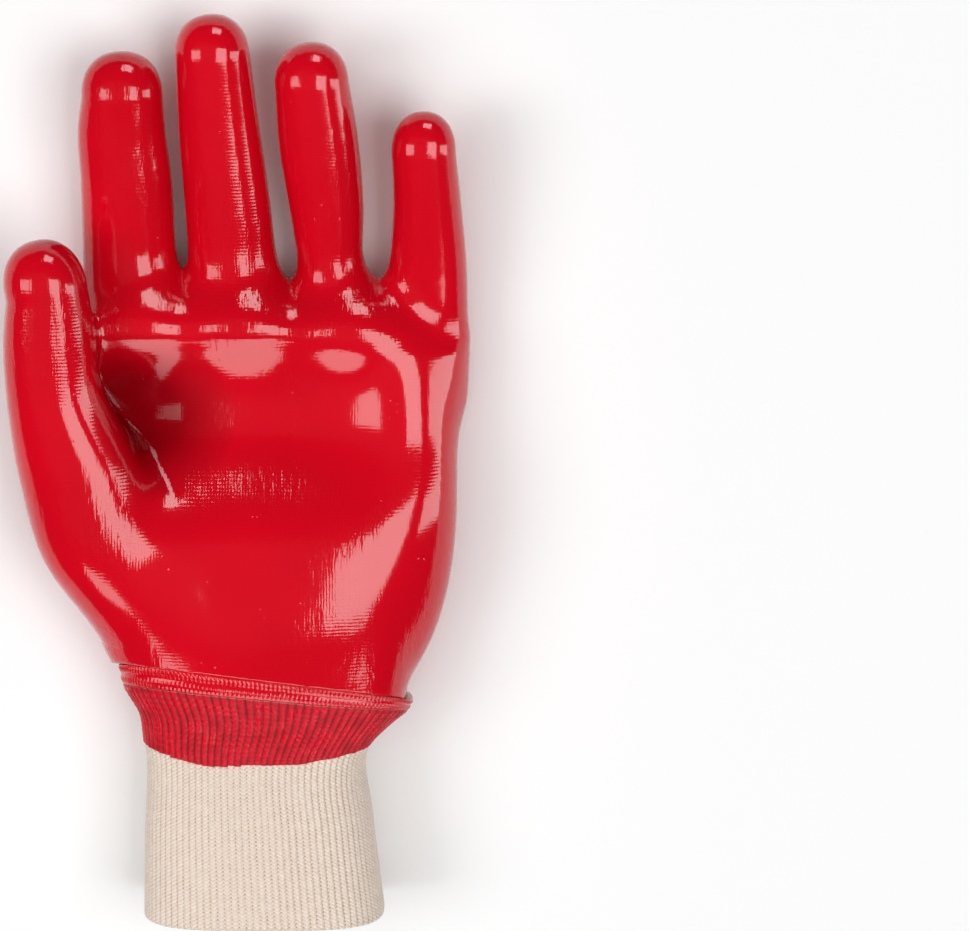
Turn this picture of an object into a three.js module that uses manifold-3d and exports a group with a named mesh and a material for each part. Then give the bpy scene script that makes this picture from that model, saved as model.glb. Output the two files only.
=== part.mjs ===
// A coated work glove for the left hand, lying on its back with the palm up.
// +X runs from the thumb to the little finger, +Y from the cuff to the fingertips, +Z up out of the palm.
// The hand is one dipped shell, hollow down to the fingertips and open at the wrist. Below it come the sewn
// seam, the coated top of the knitted wrist and its bare ribbed cuff. All lengths are in millimetres.

import * as THREE from "three";
import { mergeVertices } from "three/addons/utils/BufferGeometryUtils.js";
import Module from "manifold-3d";

const wasm = await Module();
wasm.setup();

// Driving dimensions
const palmWidth = 106; // across the four knuckles
const palmLength = 104; // wrist seam to the crotches between the fingers
const palmDepth = 46; // back to front at the heel of the hand
const knuckleDrop = 5; // how much shorter the palm is under the little finger
const fingerLength = 101.5; // of the middle finger, from its root inside the palm
const fingerWidth = 24;
const fingerDepth = 23.5;
const coatedWall = 1.8; // cotton lining with its dipped coat
const wristWidth = 82; // of the shell at the seam
const seamWidth = 4; // along the arm
const seamBulge = 0.7; // how far the seam stands proud of the shell
const seamSlope = 0.129; // rise of the seam towards the thumb, for each millimetre across
const seamArch = 5; // how much further up the hand the seam runs on the front than on the back
const bandLength = 16; // coated knit at the side of the wrist, from the seam to the edge of the dip
const dipSag = { front: 3.5, back: 2 }; // how much lower the edge of the dip runs there than at the sides
const cuffLength = 51; // bare knit at the side of the wrist
const cuffNeck = 62; // width at the edge of the dip
const cuffWidth = 68; // width at the rim
const cuffDepth = 43; // back to front at the rim
const knitWall = 2.2; // folded double
const ribCount = 96;
const ribDepth = 0.45;
const pieceGap = 0.3; // between pieces that meet
const restFlat = 0.9; // how far the soft back is pressed flat by what it lies on

// Each digit is a row: its sizes as shares of the finger sizes, where its root lies as shares of the palm's
// width and length, how high the middle of its root lies as a share of its own depth, and how it leans, in
// degrees, towards the little finger and up out of the palm.
const digits = {
  index: { long: 0.897, wide: 1.067, deep: 1, x: -0.311, y: 0.83, z: 0.55, lean: -1.4, lift: 5 },
  middle: { long: 1, wide: 1.008, deep: 1, x: -0.03, y: 0.83, z: 0.55, lean: -4.4, lift: 5 },
  ring: { long: 0.926, wide: 0.917, deep: 0.957, x: 0.228, y: 0.83, z: 0.56, lean: -4.7, lift: 5.5 },
  little: { long: 0.778, wide: 0.875, deep: 0.872, x: 0.448, y: 0.79, z: 0.6, lean: 0, lift: 6.5 },
  thumb: { long: 1.135, wide: 1.062, deep: 1.106, x: -0.283, y: 0.155, z: 1.02, lean: -12.7, lift: 9 },
};

// Sections from root to tip: how far along the digit, then half width, half depth, sideways and upward shift,
// as shares of the digit's own length, width and depth.
const digitSections = {
  index: [
    { along: 0, wide: 0.46, deep: 0.44, aside: 0, rise: 0 },
    { along: 0.3, wide: 0.5, deep: 0.48, aside: -0.01, rise: 0 },
    { along: 0.6, wide: 0.488, deep: 0.47, aside: 0, rise: 0.1 },
    { along: 0.76, wide: 0.467, deep: 0.45, aside: -0.02, rise: 0.17 },
    { along: 0.87, wide: 0.43, deep: 0.42, aside: 0.01, rise: 0.25 },
  ],
  middle: [
    { along: 0, wide: 0.46, deep: 0.44, aside: 0, rise: 0 },
    { along: 0.25, wide: 0.5, deep: 0.48, aside: 0, rise: 0 },
    { along: 0.45, wide: 0.49, deep: 0.48, aside: 0.01, rise: 0.06 },
    { along: 0.72, wide: 0.452, deep: 0.45, aside: 0, rise: 0.17 },
    { along: 0.89, wide: 0.42, deep: 0.42, aside: 0.01, rise: 0.26 },
  ],
  ring: [
    { along: 0, wide: 0.42, deep: 0.42, aside: 0, rise: 0 },
    { along: 0.32, wide: 0.405, deep: 0.47, aside: 0, rise: 0.02 },
    { along: 0.5, wide: 0.465, deep: 0.48, aside: 0.02, rise: 0.08 },
    { along: 0.7, wide: 0.495, deep: 0.46, aside: 0, rise: 0.17 },
    { along: 0.88, wide: 0.46, deep: 0.43, aside: -0.01, rise: 0.26 },
  ],
  little: [
    { along: 0, wide: 0.52, deep: 0.44, aside: 0, rise: 0 },
    { along: 0.28, wide: 0.54, deep: 0.48, aside: 0.04, rise: 0.01 },
    { along: 0.46, wide: 0.505, deep: 0.48, aside: 0.06, rise: 0.08 },
    { along: 0.68, wide: 0.445, deep: 0.46, aside: 0.05, rise: 0.17 },
    { along: 0.86, wide: 0.42, deep: 0.42, aside: 0.01, rise: 0.26 },
  ],
  thumb: [
    { along: 0, wide: 0.6, deep: 0.58, aside: 0.14, rise: -0.1 },
    { along: 0.22, wide: 0.7, deep: 0.68, aside: -0.18, rise: -0.04 },
    { along: 0.42, wide: 0.67, deep: 0.62, aside: -0.25, rise: -0.045 },
    { along: 0.62, wide: 0.52, deep: 0.5, aside: -0.31, rise: 0.01 },
    { along: 0.78, wide: 0.49, deep: 0.46, aside: -0.2, rise: 0 },
    { along: 0.88, wide: 0.44, deep: 0.42, aside: -0.1, rise: 0.01 },
  ],
};

// Sections of the palm from below the seam to the knuckles: left and right edge as shares of the palm's
// width, back and front as shares of its depth.
const palmSections = [
  { along: -0.18, left: -0.315, right: 0.385, back: 0, front: 0.9 },
  { along: 0, left: -0.328, right: 0.4, back: 0, front: 0.95 },
  { along: 0.18, left: -0.362, right: 0.416, back: 0, front: 1.0 },
  { along: 0.4, left: -0.41, right: 0.458, back: 0, front: 0.97 },
  { along: 0.6, left: -0.43, right: 0.508, back: 0, front: 0.86 },
  { along: 0.8, left: -0.44, right: 0.545, back: 0, front: 0.76 },
  { along: 0.93, left: -0.43, right: 0.548, back: 0.02, front: 0.68 },
];

// Soft pads under the coat: middle and half sizes, as shares of the palm's width, length and depth. The first
// runs down the edge under the little finger, the next lie under the fingers, and the last is the thumb's.
const pads = [
  { x: 0.39, y: 0.5, z: 0.48, halfX: 0.17, halfY: 0.46, halfZ: 0.34 },
  { x: -0.28, y: 0.96, z: 0.36, halfX: 0.16, halfY: 0.13, halfZ: 0.36 },
  { x: -0.02, y: 0.96, z: 0.36, halfX: 0.16, halfY: 0.13, halfZ: 0.37 },
  { x: 0.26, y: 0.95, z: 0.36, halfX: 0.16, halfY: 0.13, halfZ: 0.37 },
  { x: -0.22, y: 0.3, z: 0.52, halfX: 0.17, halfY: 0.27, halfZ: 0.42 },
];

// Hollows pressed into the front: middle, half sizes and depth, as shares of the palm's sizes.
const hollows = [
  { x: 0.02, y: 0.7, halfX: 0.36, halfY: 0.18, depth: 0.2 },
  { x: -0.31, y: 0.73, halfX: 0.1, halfY: 0.1, depth: 0.18 },
];

const fingerNames = ["index", "middle", "ring", "little"];
const wristSides = 48; // of the smooth seam
const digitSquareness = 2.2; // 2 is an oval section, and more is squarer
const palmSquareness = 2.9;
const webBlend = 4; // rounding between neighbouring fingers
const rootBlend = 10; // rounding where the fingers leave the palm
const thumbBlend = 14;
const padBlend = 14; // rounding round the pads

// Cells of the meshes: how many across a finger, then their length along the hand and up out of it.
const cells = {
  outside: { across: 5, along: 6.3, upward: 5.2 },
  inside: { across: 4, along: 7, upward: 5.6 },
};

// Cubic curve through the rows of a table: returns the row's values at a share of the length.
function curveThrough(rows, names) {
  const places = rows.map((row) => row.along);
  const values = rows.flatMap((row) => names.map((name) => row[name]));
  const curve = new THREE.CubicInterpolant(places, values, names.length);
  const last = places.length - 1;
  return (share) => curve.evaluate(THREE.MathUtils.clamp(share, places[0], places[last]));
}

// First-order distance from a point to a rounded body with these half sizes, seen from its middle.
function roundDistance(x, y, z, halfX, halfY, halfZ, power) {
  const parts = [Math.abs(x) / halfX, Math.abs(y) / halfY, Math.abs(z) / halfZ];
  const sizes = [halfX, halfY, halfZ];
  const reach = Math.max(parts.reduce((sum, part) => sum + part ** power, 0) ** (1 / power), 1e-6);
  const slope = Math.hypot(...parts.map((part, i) => (part / reach) ** (power - 1) / sizes[i]));
  return (reach - 1) / slope;
}

// Union of two distances with their corner rounded over the given width.
function blend(a, b, width) {
  const share = Math.max(width - Math.abs(a - b), 0) / width;
  return Math.min(a, b) - (share ** 3 * width) / 6;
}

// A digit's own sizes, the point where its axis starts inside the palm, and that axis.
function digitLayout(name) {
  const share = digits[name];
  const lean = THREE.MathUtils.degToRad(share.lean);
  const lift = THREE.MathUtils.degToRad(share.lift);
  const depth = share.deep * fingerDepth;
  return {
    length: share.long * fingerLength,
    width: share.wide * fingerWidth,
    depth,
    root: new THREE.Vector3(share.x * palmWidth, share.y * palmLength, share.z * depth),
    axis: new THREE.Vector3(Math.sin(lean), Math.cos(lean), Math.tan(lift)).normalize(),
  };
}

// Distance to a digit: its section is carried along its axis and ends in a round cap.
function digitDistance(name) {
  const { length, width, depth, root, axis } = digitLayout(name);
  const side = new THREE.Vector3(axis.y, -axis.x, 0).normalize();
  const upward = new THREE.Vector3().crossVectors(side, axis);
  const sectionAt = curveThrough(digitSections[name], ["wide", "deep", "aside", "rise"]);
  const last = digitSections[name].at(-1).along * length;
  const place = new THREE.Vector3();
  return (point) => {
    place.subVectors(point, root);
    const along = place.dot(axis);
    const [wide, deep, aside, rise] = sectionAt(along / length);
    return roundDistance(
      place.dot(side) - aside * width,
      Math.max(along - last, 0) + Math.max(-along, 0),
      place.dot(upward) - rise * depth,
      wide * width,
      length - last,
      deep * depth,
      digitSquareness,
    );
  };
}

function palmDistance() {
  const sectionAt = curveThrough(palmSections, ["left", "right", "back", "front"]);
  const first = palmSections[0].along * palmLength;
  const last = palmSections.at(-1).along * palmLength;
  return (point) => {
    const [left, right, back, front] = sectionAt(point.y / palmLength);
    const drop = knuckleDrop * THREE.MathUtils.smoothstep(point.x, 0.05 * palmWidth, 0.4 * palmWidth);
    const past = Math.max(point.y + drop - last, 0) + Math.max(first - point.y, 0);
    return roundDistance(
      point.x - ((left + right) / 2) * palmWidth,
      past,
      point.z - ((back + front) / 2) * palmDepth,
      ((right - left) / 2) * palmWidth,
      palmLength - last,
      ((front - back) / 2) * palmDepth,
      palmSquareness,
    );
  };
}

function padDistance(pad) {
  return (point) =>
    roundDistance(
      point.x - pad.x * palmWidth,
      point.y - pad.y * palmLength,
      point.z - pad.z * palmDepth,
      pad.halfX * palmWidth,
      pad.halfY * palmLength,
      pad.halfZ * palmDepth,
      2,
    );
}

// How far the front is pressed in at a point.
function hollowDepth(point) {
  const onFront = THREE.MathUtils.smoothstep(point.z, 0.3 * palmDepth, 0.6 * palmDepth);
  const depths = hollows.map((hollow) => {
    const x = (point.x / palmWidth - hollow.x) / hollow.halfX;
    const y = (point.y / palmLength - hollow.y) / hollow.halfY;
    return hollow.depth * palmDepth * Math.exp(-(x * x + y * y));
  });
  return onFront * depths.reduce((sum, depth) => sum + depth, 0);
}

// The whole hand as one distance: the fingers are rounded into each other, then into the palm with its pads
// and hollows, and last comes the thumb. It lies low enough for its back to be pressed flat.
function handDistance() {
  const fingers = fingerNames.map(digitDistance);
  const thumb = digitDistance("thumb");
  const palm = palmDistance();
  const padParts = pads.map(padDistance);
  const raised = new THREE.Vector3();
  return (point) => {
    raised.copy(point).z += restFlat;
    let distance = fingers.map((finger) => finger(raised)).reduce((a, b) => blend(a, b, webBlend));
    distance = blend(distance, palm(raised), rootBlend);
    for (const pad of padParts) distance = blend(distance, pad(raised), padBlend);
    return blend(distance + hollowDepth(raised), thumb(raised), thumbBlend);
  };
}

// Grid that the hand is meshed on, with some room round it. Its columns lean with the fingers, and a line of
// them runs down each gap between two fingers.
function handGrid({ across, along, upward }) {
  const layouts = Object.keys(digits).map(digitLayout);
  const tips = layouts.map(({ root, axis, length }) => root.clone().addScaledVector(axis, length));
  const palmEnd = palmLength * (palmSections[0].along - (1 - palmSections.at(-1).along));
  const low = new THREE.Vector3(
    Math.min(...tips.map((tip, n) => tip.x - layouts[n].width)),
    palmEnd - along / 2,
    -1.5 * upward,
  );
  const high = new THREE.Vector3(
    Math.max(...tips.map((tip, n) => tip.x + layouts[n].width)),
    Math.max(...tips.map((tip) => tip.y)) + along,
    Math.max(palmDepth, ...tips.map((tip, n) => tip.z + layouts[n].depth / 2)) + 2 * upward,
  );
  const edgeAt = ({ root, axis, width }, y, sign) =>
    root.x + (axis.x / axis.y) * Math.max(y - root.y, 0) + (sign * width) / 2;
  const linesAt = (y) => {
    const [left, right] = [-1, 1].map((sign) =>
      fingerNames.map((name) => edgeAt(layouts[Object.keys(digits).indexOf(name)], y, sign)),
    );
    const gaps = left.slice(1).map((edge, n) => (edge + right[n]) / 2);
    return [low.x, left[0] - pieceGap, ...gaps, high.x];
  };
  const columns = [across, across, across, across, across + 1];
  const place = (i, j, k, target) => {
    const y = low.y + j * along;
    const lines = linesAt(y);
    let n = 0;
    while (n < columns.length - 1 && i > columns[n]) i -= columns[n++];
    const x = THREE.MathUtils.lerp(lines[n], lines[n + 1], i / columns[n]);
    return target.set(x, y, low.z + k * upward);
  };
  const rows = Math.ceil((high.y - low.y) / along);
  const layers = Math.ceil((high.z - low.z) / upward);
  return { count: [columns.reduce((sum, n) => sum + n, 0), rows, layers], place };
}

// Mesh of the surface where a distance is zero. Each grid cell that it crosses gets one vertex, and each grid
// edge that it crosses one quad. The vertices are then moved onto the surface itself.
function surfaceMesh(distance, { count, place }) {
  const corners = count.map((n) => n + 1);
  const step = [1, corners[0], corners[0] * corners[1]];
  const points = [];
  const everyCorner = (visit) => {
    for (let k = 0; k < corners[2]; k++)
      for (let j = 0; j < corners[1]; j++) for (let i = 0; i < corners[0]; i++) visit(i, j, k);
  };
  everyCorner((i, j, k) => points.push(place(i, j, k, new THREE.Vector3())));
  const value = points.map(distance);
  settleCheckerboards(value, corners, step);

  const vertices = [];
  const vertexOf = new Map();
  const bits = [1, 2, 4];
  const cube = Array.from({ length: 8 }, (_, n) =>
    bits.reduce((sum, bit, axis) => sum + (n & bit ? step[axis] : 0), 0),
  );
  const edges = cube.flatMap((from, n) =>
    bits.filter((bit) => !(n & bit)).map((bit) => [from, cube[n | bit]]),
  );
  everyCorner((i, j, k) => {
    if (i >= count[0] || j >= count[1] || k >= count[2]) return;
    const start = i + j * step[1] + k * step[2];
    const crossed = edges.filter(([a, b]) => value[start + a] < 0 !== value[start + b] < 0);
    if (!crossed.length) return;
    const middle = new THREE.Vector3();
    for (const [a, b] of crossed) {
      const [from, to] = [start + a, start + b];
      middle.add(points[from].clone().lerp(points[to], value[from] / (value[from] - value[to])));
    }
    vertexOf.set(start, vertices.length);
    vertices.push(middle.divideScalar(crossed.length));
  });

  const quads = [];
  everyCorner((i, j, k) => {
    const here = [i, j, k];
    const start = i + j * step[1] + k * step[2];
    for (let axis = 0; axis < 3; axis++) {
      const [u, v] = [(axis + 1) % 3, (axis + 2) % 3];
      if (here[axis] >= count[axis] || !here[u] || !here[v]) continue;
      const inside = value[start] < 0;
      if (inside === value[start + step[axis]] < 0) continue;
      const round = [start - step[u] - step[v], start - step[v], start, start - step[u]];
      const quad = round.map((n) => vertexOf.get(n));
      quads.push(inside ? quad : quad.reverse());
    }
  });
  relax(vertices, quads, distance);
  return { vertices, quads };
}

// A grid face whose corners alternate inside and outside would tie the mesh in a knot, so the outside corner
// nearest the surface is taken in.
function settleCheckerboards(value, corners, step) {
  for (let changed = true; changed; ) {
    changed = false;
    for (let axis = 0; axis < 3; axis++) {
      const [u, v] = [(axis + 1) % 3, (axis + 2) % 3];
      for (let start = 0; start + step[u] + step[v] < value.length; start++) {
        const here = corners.map((n, axis) => Math.floor(start / step[axis]) % n);
        if (here[u] + 1 >= corners[u] || here[v] + 1 >= corners[v]) continue;
        const face = [start, start + step[u], start + step[u] + step[v], start + step[v]];
        const inside = face.map((n) => value[n] < 0);
        if (inside[0] !== inside[2] || inside[1] !== inside[3] || inside[0] === inside[1]) continue;
        const nearest = face.filter((n) => value[n] >= 0).reduce((a, b) => (value[a] < value[b] ? a : b));
        value[nearest] = -1e-3;
        changed = true;
      }
    }
  }
}

// Evens the mesh out along the surface, and moves each vertex onto it along the distance's slope.
function relax(vertices, quads, distance) {
  const neighbours = vertices.map(() => new Set());
  for (const quad of quads)
    quad.forEach((n, i) => {
      neighbours[n].add(quad[(i + 1) % 4]);
      neighbours[quad[(i + 1) % 4]].add(n);
    });
  const reach = 0.05;
  const slope = new THREE.Vector3();
  const probe = new THREE.Vector3();
  const settle = (vertex) => {
    for (let pass = 0; pass < 3; pass++) {
      for (const axis of ["x", "y", "z"]) {
        probe.copy(vertex)[axis] += reach;
        const ahead = distance(probe);
        probe[axis] -= 2 * reach;
        slope[axis] = (ahead - distance(probe)) / (2 * reach);
      }
      vertex.addScaledVector(slope, -distance(vertex) / slope.lengthSq());
    }
  };
  for (let round = 0; round < 3; round++) {
    const middles = neighbours.map((near) => {
      const middle = new THREE.Vector3();
      for (const n of near) middle.add(vertices[n]);
      return middle.divideScalar(near.size);
    });
    vertices.forEach((vertex, n) => settle(vertex.lerp(middles[n], 0.5)));
  }
}

function solidOf(positions, triangles) {
  const vertProperties = new Float32Array(positions);
  const triVerts = new Uint32Array(triangles);
  return new wasm.Manifold(new wasm.Mesh({ numProp: 3, vertProperties, triVerts }));
}

// Quads as a solid, each split along its shorter diagonal.
function solidFromQuads(vertices, quads) {
  const triangles = quads.flatMap(([a, b, c, d]) =>
    vertices[a].distanceToSquared(vertices[c]) < vertices[b].distanceToSquared(vertices[d])
      ? [a, b, c, a, c, d]
      : [a, b, d, b, c, d],
  );
  return solidOf(vertices.flatMap((vertex) => vertex.toArray()), triangles);
}

function solidFromGeometry(geometry) {
  geometry.deleteAttribute("normal").deleteAttribute("uv");
  const merged = mergeVertices(geometry);
  return solidOf(merged.getAttribute("position").array, merged.index.array);
}

function meshFrom(solid, name, material) {
  const { vertProperties, triVerts } = solid.getMesh();
  const geometry = new THREE.BufferGeometry();
  geometry.setAttribute("position", new THREE.BufferAttribute(vertProperties, 3));
  geometry.setIndex(new THREE.BufferAttribute(triVerts, 1));
  geometry.computeVertexNormals();
  const mesh = new THREE.Mesh(geometry, material);
  mesh.name = name;
  return mesh;
}

// The hand's skin at a depth under its outside. What it lies on presses the lowest vertices up.
function handSkin(distance, depth, cell) {
  const { vertices, quads } = surfaceMesh((point) => distance(point) + depth, handGrid(cell));
  for (const vertex of vertices) vertex.z = Math.max(vertex.z, depth);
  return solidFromQuads(vertices, quads);
}

// Where the seam runs at a point across and up the wrist: it rises towards the thumb and arches on the front.
function seamLine(x, z) {
  return seamArch * THREE.MathUtils.smoothstep(z, 0.4 * palmDepth, palmDepth) - seamSlope * x;
}

// Everything below the seam, to cut the shell with.
function belowSeam() {
  const heights = [-0.5, 0.4, 0.55, 0.7, 0.85, 1, 2].map((share) => share * palmDepth);
  const outline = heights.map((z) => new THREE.Vector2(seamLine(0, z), z));
  outline.push(new THREE.Vector2(-palmLength, heights.at(-1)), new THREE.Vector2(-palmLength, heights[0]));
  const across = { depth: 3 * palmWidth, bevelEnabled: false };
  const block = new THREE.ExtrudeGeometry(new THREE.Shape(outline), across);
  const turn = new THREE.Matrix4().makeBasis(
    new THREE.Vector3(0, 1, 0),
    new THREE.Vector3(0, 0, 1),
    new THREE.Vector3(1, -seamSlope, 0),
  );
  block.translate(0, 0, -across.depth / 2);
  return solidFromGeometry(block.applyMatrix4(turn));
}

function handShell() {
  const distance = handDistance();
  const outside = handSkin(distance, 0, cells.outside);
  const inside = handSkin(distance, coatedWall, cells.inside);
  return outside.subtract(inside).subtract(belowSeam());
}

// Rings round the wrist, from the seam down to the rim: how far down as a share of the way, then half width,
// half depth and sideways shift of the tube's outside.
const wristRings = [
  { along: 0, wide: 0.5 * wristWidth, deep: 0.475 * palmDepth, aside: 0.029 * palmWidth },
  { along: 0.08, wide: 0.476 * wristWidth, deep: 0.47 * palmDepth, aside: 0.028 * palmWidth },
  { along: 0.15, wide: 0.432 * wristWidth, deep: 0.465 * palmDepth, aside: 0.027 * palmWidth },
  { along: 0.24, wide: 0.522 * cuffNeck, deep: 0.51 * cuffDepth, aside: 0.01 * palmWidth },
  { along: 0.3, wide: 0.5 * cuffNeck, deep: 0.505 * cuffDepth, aside: 0.004 * palmWidth },
  { along: 0.6, wide: 0.472 * cuffWidth, deep: 0.5 * cuffDepth, aside: 0.008 * palmWidth },
  { along: 1, wide: 0.5 * cuffWidth, deep: 0.51 * cuffDepth, aside: 0.02 * palmWidth },
];
const wristCurve = curveThrough(wristRings, ["wide", "deep", "aside"]);
const armLength = bandLength + cuffLength;

// A point on the wrist: angle round it, distance down from the seam, and height above the tube's outside. The
// seam's line dies away towards the edge of the dip.
function wristPoint(angle, down, proud) {
  const [wide, deep, aside] = wristCurve(down / armLength);
  const round = (part) => Math.sign(part) * Math.abs(part) ** (2 / palmSquareness);
  const x = aside + (wide + proud) * round(Math.cos(angle));
  const z = deep - restFlat + (deep + proud) * round(Math.sin(angle));
  const fade = Math.max(1 - down / bandLength, 0);
  return new THREE.Vector3(x, fade * seamLine(x, z) - down, Math.max(z, -Math.min(proud, 0)));
}

// A closed wall carried round the wrist: profile(angle, n) lists the points of its section, from the inside
// of its top edge out, down and back in.
function wristWall(around, profile) {
  const rings = Array.from({ length: around }, (_, n) => profile((2 * Math.PI * n) / around, n));
  const points = rings[0].length;
  const quads = rings.flatMap((ring, n) =>
    ring.map((_, m) => {
      const [here, next] = [n * points, ((n + 1) % around) * points];
      const after = (m + 1) % points;
      return [here + m, next + m, next + after, here + after];
    }),
  );
  return solidFromQuads(rings.flat(), quads);
}

// The edge of the dip, as a distance down from the seam.
function dipEdge(angle) {
  const sine = Math.sin(angle);
  return bandLength + (sine > 0 ? dipSag.front : dipSag.back) * sine ** 2;
}

function wristSeam() {
  return wristWall(wristSides, (angle) => [
    wristPoint(angle, pieceGap, -coatedWall),
    wristPoint(angle, pieceGap, 0.3 * seamBulge),
    wristPoint(angle, seamWidth / 2, seamBulge),
    wristPoint(angle, seamWidth, 0.2 * seamBulge),
    wristPoint(angle, seamWidth, -coatedWall),
  ]);
}

function coatedBand() {
  const top = seamWidth + pieceGap;
  return wristWall(2 * ribCount, (angle, n) => {
    const rib = n % 2 ? -ribDepth : 0;
    const bottom = dipEdge(angle);
    return [
      wristPoint(angle, top, -knitWall),
      wristPoint(angle, top, rib),
      wristPoint(angle, (top + bottom) / 2, rib),
      wristPoint(angle, bottom, rib),
      wristPoint(angle, bottom, -knitWall),
    ];
  });
}

function knitCuff() {
  const fold = knitWall / 2;
  return wristWall(2 * ribCount, (angle, n) => {
    const rib = n % 2 ? -ribDepth : 0;
    const top = dipEdge(angle) + pieceGap;
    return [
      wristPoint(angle, top, -knitWall),
      wristPoint(angle, top, rib),
      wristPoint(angle, armLength - fold, rib),
      wristPoint(angle, armLength, -fold),
      wristPoint(angle, armLength - fold, -knitWall),
    ];
  });
}

const coat = new THREE.MeshStandardMaterial({ color: 0xc8001e, roughness: 0.16, metalness: 0 });
const coatedKnit = new THREE.MeshStandardMaterial({ color: 0xb4001c, roughness: 0.3, metalness: 0 });
const cotton = new THREE.MeshStandardMaterial({ color: 0xeaddca, roughness: 0.95, metalness: 0 });

const glove = new THREE.Group();
glove.name = "coated_glove";
glove.add(meshFrom(handShell(), "hand_shell", coat));
glove.add(meshFrom(wristSeam(), "wrist_seam", coat));
glove.add(meshFrom(coatedBand(), "coated_band", coatedKnit));
glove.add(meshFrom(knitCuff(), "knit_cuff", cotton));

// The origin is the middle of the glove's footprint, on the surface that it lies on.
const bounds = new THREE.Box3().setFromObject(glove);
glove.position.set(-(bounds.min.x + bounds.max.x) / 2, -(bounds.min.y + bounds.max.y) / 2, -bounds.min.z);

export default glove;
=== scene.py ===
import math
import bpy
import bmesh
import numpy as np
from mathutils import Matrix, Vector


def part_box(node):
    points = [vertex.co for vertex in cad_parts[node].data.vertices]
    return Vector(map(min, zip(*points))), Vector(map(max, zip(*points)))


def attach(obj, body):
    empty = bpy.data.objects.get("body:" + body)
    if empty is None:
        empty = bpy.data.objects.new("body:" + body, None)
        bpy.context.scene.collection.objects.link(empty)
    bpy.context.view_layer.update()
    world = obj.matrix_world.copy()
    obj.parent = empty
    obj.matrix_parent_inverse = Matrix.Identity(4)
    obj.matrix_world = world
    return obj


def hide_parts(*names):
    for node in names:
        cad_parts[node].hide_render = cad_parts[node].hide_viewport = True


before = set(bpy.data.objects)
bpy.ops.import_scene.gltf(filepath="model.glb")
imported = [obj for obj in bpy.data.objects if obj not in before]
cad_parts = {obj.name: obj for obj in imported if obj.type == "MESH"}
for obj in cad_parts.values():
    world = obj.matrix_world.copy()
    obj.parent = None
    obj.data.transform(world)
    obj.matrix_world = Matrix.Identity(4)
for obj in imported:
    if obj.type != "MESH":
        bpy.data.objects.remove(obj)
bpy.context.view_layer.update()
scene = bpy.context.scene
scene.view_settings.view_transform = "Standard"  # keeps deep reds as saturated as the coat's

# Sizes of the glove in millimetres, in the hand's own frame: y is 0 at the wrist seam.
glove = dict(
    palmWidth=106, palmLength=104, palmDepth=46, knuckleDrop=5,
    fingerLength=101.5, fingerWidth=24, fingerDepth=23.5,
    coatedWall=1.8, wristWidth=82, seamSlope=0.129, seamArch=5,
    bandLength=16, dipFront=3.5, dipBack=2, cuffLength=51,
    cuffNeck=62, cuffWidth=68, cuffDepth=43, restFlat=0.9,
    digitSquareness=2.2, palmSquareness=2.9,
    webBlend=4, rootBlend=10, thumbBlend=14, padBlend=14,
)
armLength = glove["bandLength"] + glove["cuffLength"]

# Each digit: sizes as shares of the finger sizes, root as shares of the palm, lean and lift in degrees.
digits = dict(
    index=dict(long=0.897, wide=1.067, deep=1, x=-0.311, y=0.83, z=0.55, lean=-1.4, lift=5),
    middle=dict(long=1, wide=1.008, deep=1, x=-0.03, y=0.83, z=0.55, lean=-4.4, lift=5),
    ring=dict(long=0.926, wide=0.917, deep=0.957, x=0.228, y=0.83, z=0.56, lean=-4.7, lift=5.5),
    little=dict(long=0.778, wide=0.875, deep=0.872, x=0.448, y=0.79, z=0.6, lean=0, lift=6.5),
    thumb=dict(long=1.135, wide=1.062, deep=1.106, x=-0.283, y=0.155, z=1.02, lean=-12.7, lift=9),
)

# Sections from root to tip: along, half width, half depth, sideways and upward shift, as shares of the digit.
digitSections = dict(
    index=[(0, 0.46, 0.44, 0, 0), (0.3, 0.5, 0.48, -0.01, 0), (0.6, 0.488, 0.47, 0, 0.1),
           (0.76, 0.467, 0.45, -0.02, 0.17), (0.87, 0.43, 0.42, 0.01, 0.25)],
    middle=[(0, 0.46, 0.44, 0, 0), (0.25, 0.5, 0.48, 0, 0), (0.45, 0.49, 0.48, 0.01, 0.06),
            (0.72, 0.452, 0.45, 0, 0.17), (0.89, 0.42, 0.42, 0.01, 0.26)],
    ring=[(0, 0.42, 0.42, 0, 0), (0.32, 0.405, 0.47, 0, 0.02), (0.5, 0.465, 0.48, 0.02, 0.08),
          (0.7, 0.495, 0.46, 0, 0.17), (0.88, 0.46, 0.43, -0.01, 0.26)],
    little=[(0, 0.52, 0.44, 0, 0), (0.28, 0.54, 0.48, 0.04, 0.01), (0.46, 0.505, 0.48, 0.06, 0.08),
            (0.68, 0.445, 0.46, 0.05, 0.17), (0.86, 0.42, 0.42, 0.01, 0.26)],
    thumb=[(0, 0.6, 0.58, 0.14, -0.1), (0.22, 0.7, 0.68, -0.18, -0.04), (0.42, 0.67, 0.62, -0.25, -0.045),
           (0.62, 0.52, 0.5, -0.31, 0.01), (0.78, 0.49, 0.46, -0.2, 0), (0.88, 0.44, 0.42, -0.1, 0.01)],
)

# Sections of the palm: along, left and right edge as shares of its width, back and front as shares of its depth.
palmSections = [
    (-0.18, -0.315, 0.385, 0, 0.9), (0, -0.328, 0.4, 0, 0.95), (0.18, -0.362, 0.416, 0, 1.0),
    (0.4, -0.41, 0.458, 0, 0.97), (0.6, -0.43, 0.508, 0, 0.86), (0.8, -0.44, 0.545, 0, 0.76),
    (0.93, -0.43, 0.548, 0.02, 0.68),
]

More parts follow.
